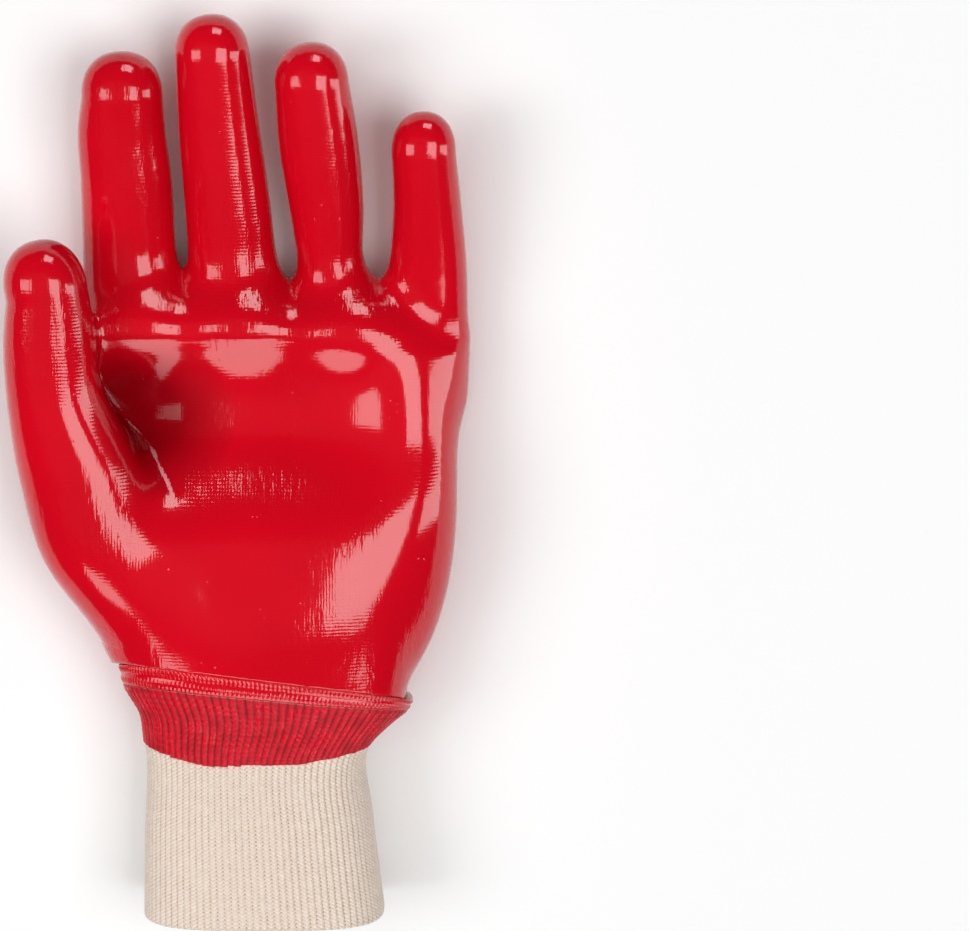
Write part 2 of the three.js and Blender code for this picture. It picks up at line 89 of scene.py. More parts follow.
# Soft pads: middle, then half sizes, as shares of the palm's width, length and depth.
pads = [
    (0.375, 0.5, 0.48, 0.158, 0.46, 0.34), (-0.28, 0.96, 0.36, 0.16, 0.13, 0.36),
    (-0.02, 0.96, 0.36, 0.16, 0.13, 0.37), (0.26, 0.95, 0.36, 0.16, 0.13, 0.37),
    (-0.22, 0.3, 0.52, 0.17, 0.27, 0.42),
]
hollows = [(0.02, 0.7, 0.42, 0.18, 0.2), (-0.31, 0.73, 0.1, 0.1, 0.18)]  # middle, half sizes, depth


# Where the hand's frame lies in the model's frame, read from the knit cuff's box.
def frameShift():
    low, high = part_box("knit_cuff")
    across = (low[0] + high[0]) / 2 * 1000 - 0.02 * glove["palmWidth"]
    return np.array([across, low[1] * 1000 + armLength, 0.0])


shift = frameShift()


def toModel(points):
    return (points + shift) / 1000


# 0 below low, 1 above high, and an even s-curve between.
def smoothStep(value, low, high):
    t = np.clip((value - low) / (high - low), 0, 1)
    return t * t * (3 - 2 * t)


# Cubic curve through rows of values. The slope at a row is the mean of the slopes beside it.
def curveThrough(places, values, at):
    places, values = np.asarray(places, float), np.asarray(values, float)
    chords = np.diff(values) / np.diff(places)
    slopes = np.concatenate([chords[:1], (chords[1:] + chords[:-1]) / 2, chords[-1:]])
    at = np.clip(at, places[0], places[-1])
    n = np.clip(np.searchsorted(places, at, side="right") - 1, 0, len(places) - 2)
    step = places[n + 1] - places[n]
    t = (at - places[n]) / step
    first = (1 + 2 * t) * (1 - t) ** 2 * values[n] + t * (1 - t) ** 2 * step * slopes[n]
    return first + t * t * (3 - 2 * t) * values[n + 1] - t * t * (1 - t) * step * slopes[n + 1]


# Distance to a rounded body with these half sizes: how far out the point is, divided by how fast that grows.
def roundDistance(parts, sizes, power):
    shares = [np.abs(part) / size for part, size in zip(parts, sizes)]
    reach = np.maximum(sum(share ** power for share in shares) ** (1 / power), 1e-6)
    slope = np.sqrt(sum(((share / reach) ** (power - 1) / size) ** 2 for share, size in zip(shares, sizes)))
    return (reach - 1) / slope


# The nearer of two distances, with their corner rounded over the given width.
def blend(a, b, width):
    share = np.maximum(width - np.abs(a - b), 0) / width
    return np.minimum(a, b) - share ** 3 * width / 6


def digitLayout(name):
    share = digits[name]
    lean, lift = math.radians(share["lean"]), math.radians(share["lift"])
    depth = share["deep"] * glove["fingerDepth"]
    root = np.array([share["x"] * glove["palmWidth"], share["y"] * glove["palmLength"], share["z"] * depth])
    axis = np.array([math.sin(lean), math.cos(lean), math.tan(lift)])
    axis = axis / np.linalg.norm(axis)
    side = np.array([axis[1], -axis[0], 0])
    side = side / np.linalg.norm(side)
    return dict(length=share["long"] * glove["fingerLength"], width=share["wide"] * glove["fingerWidth"],
                depth=depth, root=root, axis=axis, side=side, up=np.cross(side, axis))


# Distance to a digit: its section is carried along its axis and ends in a round cap.
def digitDistance(name, x, y, z):
    size = digitLayout(name)
    px, py, pz = x - size["root"][0], y - size["root"][1], z - size["root"][2]
    along = px * size["axis"][0] + py * size["axis"][1] + pz * size["axis"][2]
    aside = px * size["side"][0] + py * size["side"][1]
    above = px * size["up"][0] + py * size["up"][1] + pz * size["up"][2]
    places, wide, deep, shiftSide, rise = zip(*digitSections[name])
    share = along / size["length"]
    last = places[-1] * size["length"]
    wide, deep, shiftSide, rise = (curveThrough(places, row, share) for row in (wide, deep, shiftSide, rise))
    past = np.maximum(along - last, 0) + np.maximum(-along, 0)
    parts = [aside - shiftSide * size["width"], past, above - rise * size["depth"]]
    return roundDistance(parts, [wide * size["width"], size["length"] - last, deep * size["depth"]],
                         glove["digitSquareness"])


def palmDistance(x, y, z):
    width, length, depth = glove["palmWidth"], glove["palmLength"], glove["palmDepth"]
    places, *rows = zip(*palmSections)
    left, right, back, front = (curveThrough(places, row, y / length) for row in rows)
    drop = glove["knuckleDrop"] * smoothStep(x, 0.05 * width, 0.4 * width)
    first, last = places[0] * length, places[-1] * length
    past = np.maximum(y + drop - last, 0) + np.maximum(first - y, 0)
    parts = [x - (left + right) / 2 * width, past, z - (back + front) / 2 * depth]
    sizes = [(right - left) / 2 * width, length - last, (front - back) / 2 * depth]
    return roundDistance(parts, sizes, glove["palmSquareness"])


# Folds of the soft hand that the light picks out, in millimetres: a crease where the thumb leaves the palm, and
# two shallow pleats above the wrist. Each is a groove along a short line, which dies away beside it.
creases = [
    dict(start=(-27, 66), end=(-20, 55), width=2.2, depth=0.7),
    dict(start=(-12, 36), end=(-5, 10), width=4.0, depth=0.25),
    dict(start=(4, 24), end=(8, 3), width=4.0, depth=0.2),
]


def creaseDepth(x, y, z):
    total = np.zeros_like(x)
    for crease in creases:
        (ax, ay), (bx, by) = crease["start"], crease["end"]
        length = math.hypot(bx - ax, by - ay)
        ux, uy = (bx - ax) / length, (by - ay) / length
        t = ((x - ax) * ux + (y - ay) * uy) / length
        off = (x - ax) * uy - (y - ay) * ux
        ends = smoothStep(t, -0.15, 0.35) * (1 - smoothStep(t, 0.65, 1.15))
        total = total + crease["depth"] * ends * np.exp(-(off / crease["width"]) ** 2)
    return total * smoothStep(z, 0.35 * glove["palmDepth"], 0.6 * glove["palmDepth"])


def hollowDepth(x, y, z):
    onFront = smoothStep(z, 0.3 * glove["palmDepth"], 0.6 * glove["palmDepth"])
    total = np.zeros_like(x)
    for hx, hy, halfX, halfY, depth in hollows:
        away = ((x / glove["palmWidth"] - hx) / halfX) ** 2 + ((y / glove["palmLength"] - hy) / halfY) ** 2
        total = total + depth * glove["palmDepth"] * np.exp(-away)
    return onFront * total


# The whole hand as one distance, negative inside: fingers, palm, pads and hollows, then the thumb and creases.
def handDistance(x, y, z):
    z = z + glove["restFlat"]
    fingers = [digitDistance(name, x, y, z) for name in ("index", "middle", "ring", "little")]
    distance = fingers[0]
    for finger in fingers[1:]:
        distance = blend(distance, finger, glove["webBlend"])
    distance = blend(distance, palmDistance(x, y, z), glove["rootBlend"])
    sizes = [glove["palmWidth"], glove["palmLength"], glove["palmDepth"]]
    for pad in pads:
        parts = [place - middle * size for place, middle, size in zip((x, y, z), pad[:3], sizes)]
        halves = [half * size for half, size in zip(pad[3:], sizes)]
        distance = blend(distance, roundDistance(parts, halves, 2), glove["padBlend"])
    thumb = digitDistance("thumb", x, y, z)
    return blend(distance + hollowDepth(x, y, z), thumb, glove["thumbBlend"]) + creaseDepth(x, y, z)


# How far up the hand the seam runs: it rises towards the thumb and arches on the front.
def seamLine(x, z):
    arch = smoothStep(z, 0.4 * glove["palmDepth"], glove["palmDepth"])
    return glove["seamArch"] * arch - glove["seamSlope"] * x


handMesh = dict(
    fineCell=1.0,  # of the outside, in millimetres
    insideCell=2.2,
    low=(-72.0, -6.0), high=(66.0, 70.0),  # x and z that the hand stays within
    top=196.0,
    rounds=4, settles=2,  # of smoothing, and of moving back to the surface after each
    lookStep=4, lookReach=9,  # in cells
    slopeReach=0.05, rimWidth=0.000001,
)


# Mesh of the surface where distance + depth is 0, on a grid that starts on the seam's line. Each cell that the
# surface crosses gets a vertex at the mean of its crossings, each crossed grid edge a quad of its four cells.
def skin(depth, cell):
    def field(points):
        x, y, z = points[..., 0], points[..., 1], points[..., 2]
        return handDistance(x, y + seamLine(x, z), z) + depth

    xs = np.arange(handMesh["low"][0], handMesh["high"][0] + cell, cell)
    ys = np.concatenate([[0.0], np.arange(0, handMesh["top"] + cell, cell)])
    zs = np.arange(handMesh["low"][1], handMesh["high"][1] + cell, cell)
    grid = np.stack(np.meshgrid(xs, ys, zs, indexing="ij"), axis=-1)
    step, reach = handMesh["lookStep"], handMesh["lookReach"]  # near the surface alone every corner is worked out
    rough = field(grid[::step, ::step, ::step])
    for axis in range(3):
        rough = np.repeat(rough, step, axis=axis)
    value = rough[:grid.shape[0], :grid.shape[1], :grid.shape[2]].copy()
    near = np.abs(value) < reach * cell
    value[near] = field(grid[near])
    inside = value < 0
    count = np.array(value.shape) - 1
    block = sum(inside[i:i + count[0], j:j + count[1], k:k + count[2]].astype(np.int8)
                for i in (0, 1) for j in (0, 1) for k in (0, 1))
    cells = np.argwhere((block > 0) & (block < 8))
    number = np.full(count, -1)
    number[tuple(cells.T)] = np.arange(len(cells))
    total, crossings = np.zeros((len(cells), 3)), np.zeros(len(cells))
    for axis in range(3):
        for first in (0, 1):
            for second in (0, 1):
                offset = np.zeros(3, int)
                offset[(axis + 1) % 3], offset[(axis + 2) % 3] = first, second
                a = cells + offset
                b = a + np.eye(3, dtype=int)[axis]
                va, vb = value[tuple(a.T)], value[tuple(b.T)]
                crossed = (va < 0) != (vb < 0)
                t = np.where(crossed, va / np.where(va == vb, 1, va - vb), 0)[:, None]
                pa, pb = grid[tuple(a.T)], grid[tuple(b.T)]
                total += np.where(crossed[:, None], pa + t * (pb - pa), 0)
                crossings += crossed
    points = total / crossings[:, None]
    quads = []
    for axis in range(3):
        u, v = (axis + 1) % 3, (axis + 2) % 3
        ahead = np.eye(3, dtype=int)
        here = [slice(1, -1)] * 3
        here[axis] = slice(0, -1)
        there = list(here)
        there[axis] = slice(1, None)
        starts = np.argwhere(inside[tuple(here)] != inside[tuple(there)]) + [0 if i == axis else 1 for i in range(3)]
        ring = [starts - ahead[u] - ahead[v], starts - ahead[v], starts, starts - ahead[u]]
        quad = np.stack([number[tuple(corner.T)] for corner in ring], axis=1)
        turned = ~inside[tuple(starts.T)]
        quad[turned] = quad[turned][:, ::-1]
        quads.append(quad)
    quads = np.concatenate(quads)
    used = np.unique(quads)
    renumber = np.full(len(points), -1)
    renumber[used] = np.arange(len(used))
    points, quads = points[used], renumber[quads]
    rim = points[:, 1] < handMesh["rimWidth"]

    def gradient(at):
        reach = handMesh["slopeReach"]
        slope = np.empty_like(at)
        for axis in range(3):
            step = np.zeros(3)
            step[axis] = reach
            slope[:, axis] = (field(at + step) - field(at - step)) / (2 * reach)
        slope[rim, 1] = 0
        return slope

    ends = np.concatenate([quads, np.roll(quads, 1, axis=1)]).ravel()
    others = np.concatenate([np.roll(quads, 1, axis=1), quads]).ravel()
    degree = np.bincount(ends, minlength=len(points))[:, None]
    for smoothing in range(handMesh["rounds"]):
        sums = np.stack([np.bincount(ends, weights=points[others, i], minlength=len(points)) for i in range(3)], 1)
        points = np.where(rim[:, None], points, (points + sums / degree) / 2)
        for settle in range(handMesh["settles"]):
            slope = gradient(points)
            points = points - slope * (field(points) / (slope ** 2).sum(1))[:, None]
    points[:, 1] += seamLine(points[:, 0], points[:, 2])
    points[:, 2] = pressed(points[:, 2], depth)
    return points, quads


# The soft back is pressed flat by what it lies on: heights under the floor are taken up to it.
def pressed(height, floor):
    return np.maximum(height, floor)


def newObject(name, points, faces, materials, faceMaterials=None, uv=None):
    mesh = bpy.data.meshes.new(name)
    mesh.from_pydata(toModel(points).tolist(), [], faces.tolist())
    for material in materials:
        mesh.materials.append(material)
    if faceMaterials is not None:
        mesh.polygons.foreach_set("material_index", faceMaterials)
    mesh.polygons.foreach_set("use_smooth", np.ones(len(mesh.polygons), bool))
    if uv is not None:
        layer = mesh.uv_layers.new(name="around")
        corners = np.empty(len(mesh.loops), int)
        mesh.loops.foreach_get("vertex_index", corners)
        layer.data.foreach_set("uv", uv.reshape(-1).astype(np.float32))
    mesh.update()
    made = bpy.data.objects.new(name, mesh)
    scene.collection.objects.link(made)
    return made


# The hand is an outside and a coarser inside skin, joined at the wrist.
def makeHand(materials):
    outer, outerQuads = skin(0, handMesh["fineCell"])
    inner, innerQuads = skin(glove["coatedWall"], handMesh["insideCell"])
    points = np.concatenate([outer, inner])
    faces = np.concatenate([outerQuads, innerQuads[:, ::-1] + len(outer)])
    which = np.concatenate([np.zeros(len(outerQuads), int), np.ones(len(innerQuads), int)])
    hand = newObject("glove_hand", points, faces, materials, which)
    shell = bmesh.new()
    shell.from_mesh(hand.data)
    openEdges = [edge for edge in shell.edges if edge.is_boundary]
    made = bmesh.ops.bridge_loops(shell, edges=openEdges)["faces"]
    for face in made:
        face.material_index = 0
        face.smooth = True
    shell.to_mesh(hand.data)
    shell.free()
    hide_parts("hand_shell")
    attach(hand, "root")
    print("hand", len(outer), "outside and", len(inner), "inside vertices,", len(made), "faces at the wrist")


# Rings round the wrist: how far down from the seam as a share of the arm, half width, half depth and
# sideways shift in millimetres.
def wristRings():
    neck, rim, deep = glove["cuffNeck"], glove["cuffWidth"], glove["cuffDepth"]
    wrist, palm, width = glove["wristWidth"], glove["palmDepth"], glove["palmWidth"]
    return [
        (0, 0.5 * wrist, 0.475 * palm, 0.029 * width), (0.08, 0.476 * wrist, 0.47 * palm, 0.028 * width),
        (0.15, 0.432 * wrist, 0.465 * palm, 0.027 * width), (0.24, 0.522 * neck, 0.51 * deep, 0.01 * width),
        (0.3, 0.5 * neck, 0.505 * deep, 0.004 * width), (0.6, 0.472 * rim, 0.5 * deep, 0.008 * width),
        (1, 0.5 * rim, 0.51 * deep, 0.02 * width),
    ]


# Points of the wrist: x and z follow a rounded oval at the angle, y runs down from the seam's line, which dies
# away towards the edge of the dip. Proud is the height above the tube.
def wristPoints(angle, down, proud):
    places, *rows = zip(*wristRings())
    wide, deep, aside = (curveThrough(places, row, down / armLength) for row in rows)

    def rounded(part):
        return np.sign(part) * np.abs(part) ** (2 / glove["palmSquareness"])

    x = aside + (wide + proud) * rounded(np.cos(angle))
    z = deep - glove["restFlat"] + (deep + proud) * rounded(np.sin(angle))
    fade = np.maximum(1 - down / glove["bandLength"], 0)
    y = fade * seamLine(x, z) - down
    return np.stack([x, y, np.maximum(z, -np.minimum(proud, 0))], axis=-1)


# Angles round the wrist whose points lie evenly along it.
def evenAngles(count):
    fine = np.linspace(0, 2 * math.pi, 4001)
    line = wristPoints(fine, np.full_like(fine, armLength / 2), np.zeros_like(fine))
    run = np.concatenate([[0], np.cumsum(np.linalg.norm(np.diff(line, axis=0), axis=1))])
    return np.interp(np.linspace(0, run[-1], count + 1)[:-1], run, fine)


# A closed wall round the wrist: rows[n] is one line round it, and the last row joins the first. The first
# rows, which are as many as seen says, are the face of it, where u counts round in turns and v is the distance
# down in millimetres. What lies behind them takes the last material.
def wristBand(name, rows, down, seen, materials, node):
    count, around = rows.shape[:2]
    here = np.arange(count * around).reshape(count, around)
    below = np.roll(here, -1, axis=0)
    faces = np.stack([here, below, np.roll(below, -1, axis=1), np.roll(here, -1, axis=1)], axis=-1)
    u = np.broadcast_to(np.arange(around) / around, (count, around))
    uv = np.stack([np.stack([u, down], -1), np.stack([u, np.roll(down, -1, axis=0)], -1),
                   np.stack([u + 1 / around, np.roll(down, -1, axis=0)], -1),
                   np.stack([u + 1 / around, down], -1)], axis=2)
    behind = np.repeat(np.where(np.arange(count) < seen, 0, len(materials) - 1), around)
    made = newObject(name, rows.reshape(-1, 3), faces.reshape(-1, 4), materials, behind, uv)
    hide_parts(node)
    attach(made, "root")
    print(name, 2 * faces.shape[0] * faces.shape[1], "triangles")


# The same number for the same rib or stitch each time: the broken part of a large sine.
def scatter(number, seed):
    wild = np.sin(number * 12.9898 + seed * 78.233) * 43758.5453
    return wild - np.floor(wild)


seamPiece = dict(width=4.0, bulge=0.4, gap=0.3, stitches=190, perStitch=6, rows=22, stitchHeight=0.14,
                 edgeDrop=0.9, lastRow=0.999)


# The sewn seam: across it the height follows two soft ridges, along it a small lump for each stitch.
def makeSeam(materials):
    around = seamPiece["stitches"] * seamPiece["perStitch"]
    angle = evenAngles(around)[None, :]
    share = np.linspace(0, 1, seamPiece["rows"])[:, None]
    phase = np.arange(around)[None, :] / seamPiece["perStitch"]
    ridges = np.maximum(np.exp(-((share - 0.2) / 0.17) ** 2) * 0.65, np.exp(-((share - 0.72) / 0.2) ** 2))
    lump = np.cos(2 * math.pi * (phase + 1.6 * share)) * np.exp(-((share - 0.2) / 0.13) ** 2)
    lump = lump + 0.7 * np.cos(2 * math.pi * (phase - 1.2 * share)) * np.exp(-((share - 0.74) / 0.16) ** 2)
    uneven = 0.12 * np.sin(phase * 0.21) + 0.08 * np.sin(phase * 0.53 + 1)
    proud = seamPiece["bulge"] * (0.15 + (0.85 + uneven) * ridges) + seamPiece["stitchHeight"] * lump
    proud = proud - seamPiece["edgeDrop"] * (share > seamPiece["lastRow"])
    down = seamPiece["gap"] * 0.2 + share * (seamPiece["width"] + 0.2) + 0 * angle
    face = wristPoints(angle + 0 * share, down, np.minimum(proud, seamPiece["bulge"] * 1.1))
    inner = [wristPoints(angle, np.full_like(angle, depth), np.full_like(angle, -glove["coatedWall"]))
             for depth in (down[-1, 0], down[0, 0])]
    rows = np.concatenate([face, *inner])
    downs = np.concatenate([down, down[-1:], down[:1]])
    wristBand("wrist_seam_stitched", rows, downs, len(share), materials, "wrist_seam")


knitPiece = dict(
    ribs=96, ribDepth=0.45, wall=2.2, stitch=1.06, perRib=8, bandRows=84, cuffRows=72, coatProud=0.12,
    underSeam=0.25, gather=0.35, mostProud=0.35, stitchHeight=0.09, underDip=0.1, foldSteps=9, insideRows=12,
)


# The edge of the dip, as a distance down from the seam: lowest in front, and it ends at a stitch on each rib.
def dipEdge(angle, rib):
    sag = np.where(np.sin(angle) > 0, glove["dipFront"], glove["dipBack"])
    edge = glove["bandLength"] + sag * np.sin(angle) ** 2
    return edge + 0.35 * (scatter(rib, 3) - 0.5) + 0.5 * np.sin(rib * 0.37) * np.sin(rib * 0.11 + 1)


# Height of the rib knit under its ridges: round ridges between narrow valleys, no two quite alike.
def ribHeight(phase):
    rib = np.floor(phase)
    across = np.abs(2 * (phase - rib) - 1)
    depth = knitPiece["ribDepth"] * (0.85 + 0.3 * scatter(rib, 1))
    return -depth * across ** 2.5


def knitLines():
    around = knitPiece["ribs"] * knitPiece["perRib"]
    angle = evenAngles(around)[None, :]
    phase = np.arange(around)[None, :] / knitPiece["perRib"]
    rib = np.floor(phase + 0.5 / knitPiece["perRib"])
    return angle, phase, rib


# The coated top of the rib knit: ribs with a lump for each stitch, gathered under the seam.
def makeBand(materials):
    angle, phase, rib = knitLines()
    top = seamPiece["width"] + knitPiece["underSeam"]
    bottom = dipEdge(angle, rib)
    share = np.linspace(0, 1, knitPiece["bandRows"])[:, None]
    down = top + share * (bottom - top)
    across = 2 * (phase - np.floor(phase)) - 1
    stitch = np.cos(2 * math.pi * (down / knitPiece["stitch"] + 0.45 * np.abs(across)))
    clogged = 0.5 + 0.5 * np.sin(phase * 0.9 + 2 * np.sin(down * 0.6)) * np.cos(down * 0.45 + phase * 0.33)
    height = ribHeight(phase) * (0.65 + 0.35 * clogged) + knitPiece["stitchHeight"] * stitch * (1 - clogged * 0.6)
    gather = knitPiece["gather"] * np.exp(-((share - 0.03) / 0.08) ** 2)
    lip = knitPiece["coatProud"] * (1 - smoothStep(share, 0.985, 1.0)) - 0.25 * smoothStep(share, 0.99, 1.0)
    face = wristPoints(angle + 0 * share, down, np.minimum(height + gather + lip, knitPiece["mostProud"]))
    inner = [wristPoints(angle, edge, np.full_like(angle, -knitPiece["wall"]))
             for edge in (bottom, np.full_like(angle, top))]
    rows = np.concatenate([face, *inner])
    downs = np.concatenate([down, down[-1:], down[:1]])
    wristBand("wrist_band_coated", rows, downs, len(share), materials, "coated_band")


# The bare rib knit, folded over at the rim: the section runs down the face, round the fold and back up inside.
def makeCuff(materials):
    angle, phase, rib = knitLines()
    fold = knitPiece["wall"] / 2
    top = dipEdge(angle, rib) - knitPiece["underDip"]
    share = np.linspace(0, 1, knitPiece["cuffRows"])[:, None]
    straight = top + share * (armLength - fold - top)
    height = ribHeight(phase) - 0.1 * np.exp(-share / 0.02)
    face = wristPoints(angle + 0 * share, straight, height + 0 * share)
    turns = np.linspace(0, math.pi, knitPiece["foldSteps"])[1:, None]
    turnDown = armLength - fold + fold * np.sin(turns) + 0 * angle
    turnProud = -fold + (fold + ribHeight(phase) * np.cos(turns / 2)) * np.cos(turns)
    rim = wristPoints(angle + 0 * turns, turnDown, turnProud)
    back = np.linspace(1, 0, knitPiece["insideRows"])[1:, None]
    backDown = top + back * (armLength - fold - top)
    inside = wristPoints(angle + 0 * back, backDown, -knitPiece["wall"] - 0.5 * ribHeight(phase) + 0 * back)
    rows = np.concatenate([face, rim, inside])
    downs = np.concatenate([straight, turnDown, 2 * armLength - backDown])
    wristBand("cuff_ribbed", rows, downs, len(rows), materials, "knit_cuff")


# A small kit for materials: node() adds a node, sets its properties and its inputs, and links given sockets.
class Finish:
    def __init__(self, name):
        self.material = bpy.data.materials.new(name)
        self.material.use_nodes = True
        self.tree = self.material.node_tree
        self.shader = self.tree.nodes["Principled BSDF"]

    def put(self, socket, value):
        if isinstance(value, bpy.types.NodeSocket):
            self.tree.links.new(value, socket)
        else:
            socket.default_value = value

    def node(self, kind, inputs=None, out=0, **settings):
        made = self.tree.nodes.new("ShaderNode" + kind)
        for key, value in settings.items():
            setattr(made, key, value)
        for key, value in (inputs or {}).items():
            self.put(made.inputs[key], value)
        return made.outputs[out]

    def math(self, operation, a, b=0.0):
        return self.node("Math", {0: a, 1: b}, operation=operation)

    def between(self, share, low, high):
        return self.node("Mix", {0: share, 6: (*low, 1), 7: (*high, 1)}, out=2, data_type="RGBA")

    def range(self, value, fromLow, fromHigh, toLow=0.0, toHigh=1.0):
        return self.node("MapRange", {0: value, 1: fromLow, 2: fromHigh, 3: toLow, 4: toHigh})

    def noise(self, where, scale, detail=2.0, roughness=0.5):
        return self.node("TexNoise", {"Vector": where, "Scale": scale, "Detail": detail, "Roughness": roughness})

    def shade(self, **inputs):
        for key, value in inputs.items():
            self.put(self.shader.inputs[key.replace("_", " ")], value)


coatLook = dict(
    red=(0.7, 0.0012, 0.0125), deepRed=(0.26, 0.0003, 0.004), roughness=0.1,
    course=0.00095, wale=0.0008,  # pitch of the knit's rows and columns under the coat
    knitHeight=0.000009, skinHeight=0.00003, grainHeight=0.000012, pitHeight=0.00006, pleatHeight=0.00022,
    paintedShadePocket=(-31, 75, 22), paintedShadeReach=0.028,  # the deep fold beside the thumb, which little light reaches: shade is painted there as darker coat and less gloss
    drop=(49.1, 148.7, 32), dropReach=0.0011, dropHeight=0.0004,  # a bead of coat on the little fingertip
)


# Thick glossy coat: the knit under it shows as fine rows across the hand and columns along it, and the coat
# has shallow pleats that run along the hand.
# Shade is also painted into the fold beside the thumb, as darker coat and less gloss.
def coatMaterial():
    look = Finish("dipped_coat")
    where = look.node("TexCoord", out=3)
    normal = look.node("TexCoord", out=1)
    sideways = look.math("ABSOLUTE", look.node("SeparateXYZ", {0: normal}))
    perBand = 0.1 * math.pi  # a band texture of scale 1 repeats in this many metres

    def bands(direction, pitch):
        return look.node("TexWave", {"Vector": where, "Scale": perBand / pitch, "Distortion": 1.6,
                                     "Detail": 1.0, "Detail Scale": 0.6}, out=1, bands_direction=direction)

    def nearness(point, reach):
        away = look.node("VectorMath", {0: where, 1: toModel(np.array(point)).tolist()}, out=1, operation="DISTANCE")
        return look.range(away, 0.0, reach, 1.0, 0.0)

    courses = bands("Y", coatLook["course"])
    wales = look.node("Mix", {0: sideways, 2: bands("X", coatLook["wale"]), 3: bands("Z", coatLook["wale"])})
    knit = look.math("ADD", courses, wales)
    thin = look.range(look.noise(where, 55.0, 3.0), 0.42, 0.62, 0.3, 1.0)
    bump = look.node("Bump", {"Height": look.math("MULTIPLY", knit, thin), "Distance": coatLook["knitHeight"]})
    bump = look.node("Bump", {"Height": look.noise(where, 190.0, 2.0), "Distance": coatLook["skinHeight"],
                              "Normal": bump})
    bump = look.node("Bump", {"Height": look.noise(where, 750.0, 2.0), "Distance": coatLook["grainHeight"],
                              "Normal": bump})
    alongHand = look.node("VectorMath", {0: where, 1: (1.0, 0.16, 0.5)}, operation="MULTIPLY")
    pleated = look.range(look.noise(where, 26.0, 1.0), 0.42, 0.6)
    pleats = look.math("MULTIPLY", look.noise(alongHand, 420.0, 3.0, 0.6), pleated)
    bump = look.node("Bump", {"Height": pleats, "Distance": coatLook["pleatHeight"], "Normal": bump})
    pits = look.node("TexVoronoi", {"Vector": where, "Scale": 420.0}, feature="F1")
    speck = look.math("MULTIPLY", look.range(pits, 0.0, 0.16, 1.0, 0.0),
                      look.range(look.noise(where, 130.0, 0.0), 0.6, 0.66))
    bump = look.node("Bump", {"Height": speck, "Distance": coatLook["pitHeight"], "Normal": bump})
    drop = nearness(coatLook["drop"], coatLook["dropReach"])
    bump = look.node("Bump", {"Height": look.math("SQRT", drop), "Distance": coatLook["dropHeight"],
                              "Normal": bump})
    lines = look.math("MULTIPLY", look.range(knit, 0.0, 2.0), 0.1)
    cloud = look.range(look.noise(where, 24.0, 2.0), 0.35, 0.65, 0.0, 0.14)
    # Painted shade: near the fold beside the thumb the coat is darkened towards deepRed and its gloss turned down,
    # standing in for the shadow that falls there.
    paintedShadePocket = look.math("MINIMUM", look.math("MULTIPLY", nearness(coatLook["paintedShadePocket"], coatLook["paintedShadeReach"]), 1.6),
                       1.0)
    # How far each point goes towards deepRed: random cloud, the knit's lines, the bead on the fingertip, and the
    # painted shade in the fold beside the thumb.
    deep = look.math("ADD", look.math("ADD", cloud, lines), look.math("ADD", paintedShadePocket, drop))
    look.shade(Base_Color=look.between(look.math("MINIMUM", deep, 1.0), coatLook["red"], coatLook["deepRed"]),
               Roughness=coatLook["roughness"], Normal=bump,
               Specular_IOR_Level=look.range(paintedShadePocket, 0.2, 1.0, 0.5, 0.12))
    return look.material


bandLook = dict(red=(0.68, 0.001, 0.016), deepRed=(0.2, 0.0005, 0.005), beadHeight=0.00014, gloss=0.2)


# Coat soaked into the rib knit: darker between the ribs, with small glossy beads on the stitches.
def bandMaterial():
    look = Finish("coated_rib_knit")
    where = look.node("TexCoord", out=3)
    spread = look.node("SeparateXYZ", {0: look.node("TexCoord", out=2)})
    rib = look.math("FRACT", look.math("MULTIPLY", spread, float(knitPiece["ribs"])))
    across = look.math("ABSOLUTE", look.math("SUBTRACT", look.math("MULTIPLY", rib, 2.0), 1.0))
    valley = look.range(across, 0.55, 1.0)
    blotch = look.noise(where, 260.0, 3.0)
    dark = look.math("MULTIPLY", look.math("ADD", valley, look.range(blotch, 0.4, 0.7, 0.0, 0.5)), 0.75)
    beads = look.node("Bump", {"Height": look.noise(where, 900.0, 2.0), "Distance": bandLook["beadHeight"]})
    look.shade(Base_Color=look.between(dark, bandLook["red"], bandLook["deepRed"]), Normal=beads,
               Roughness=look.range(blotch, 0.35, 0.7, 0.22, 0.55), Specular_IOR_Level=bandLook["gloss"])
    return look.material


cottonLook = dict(cream=(0.88, 0.72, 0.6), pale=(0.94, 0.84, 0.76), tan=(0.5, 0.26, 0.08), roughness=0.95,
                  yarnHeight=0.0003, sheen=0.3, sheenRoughness=0.5)


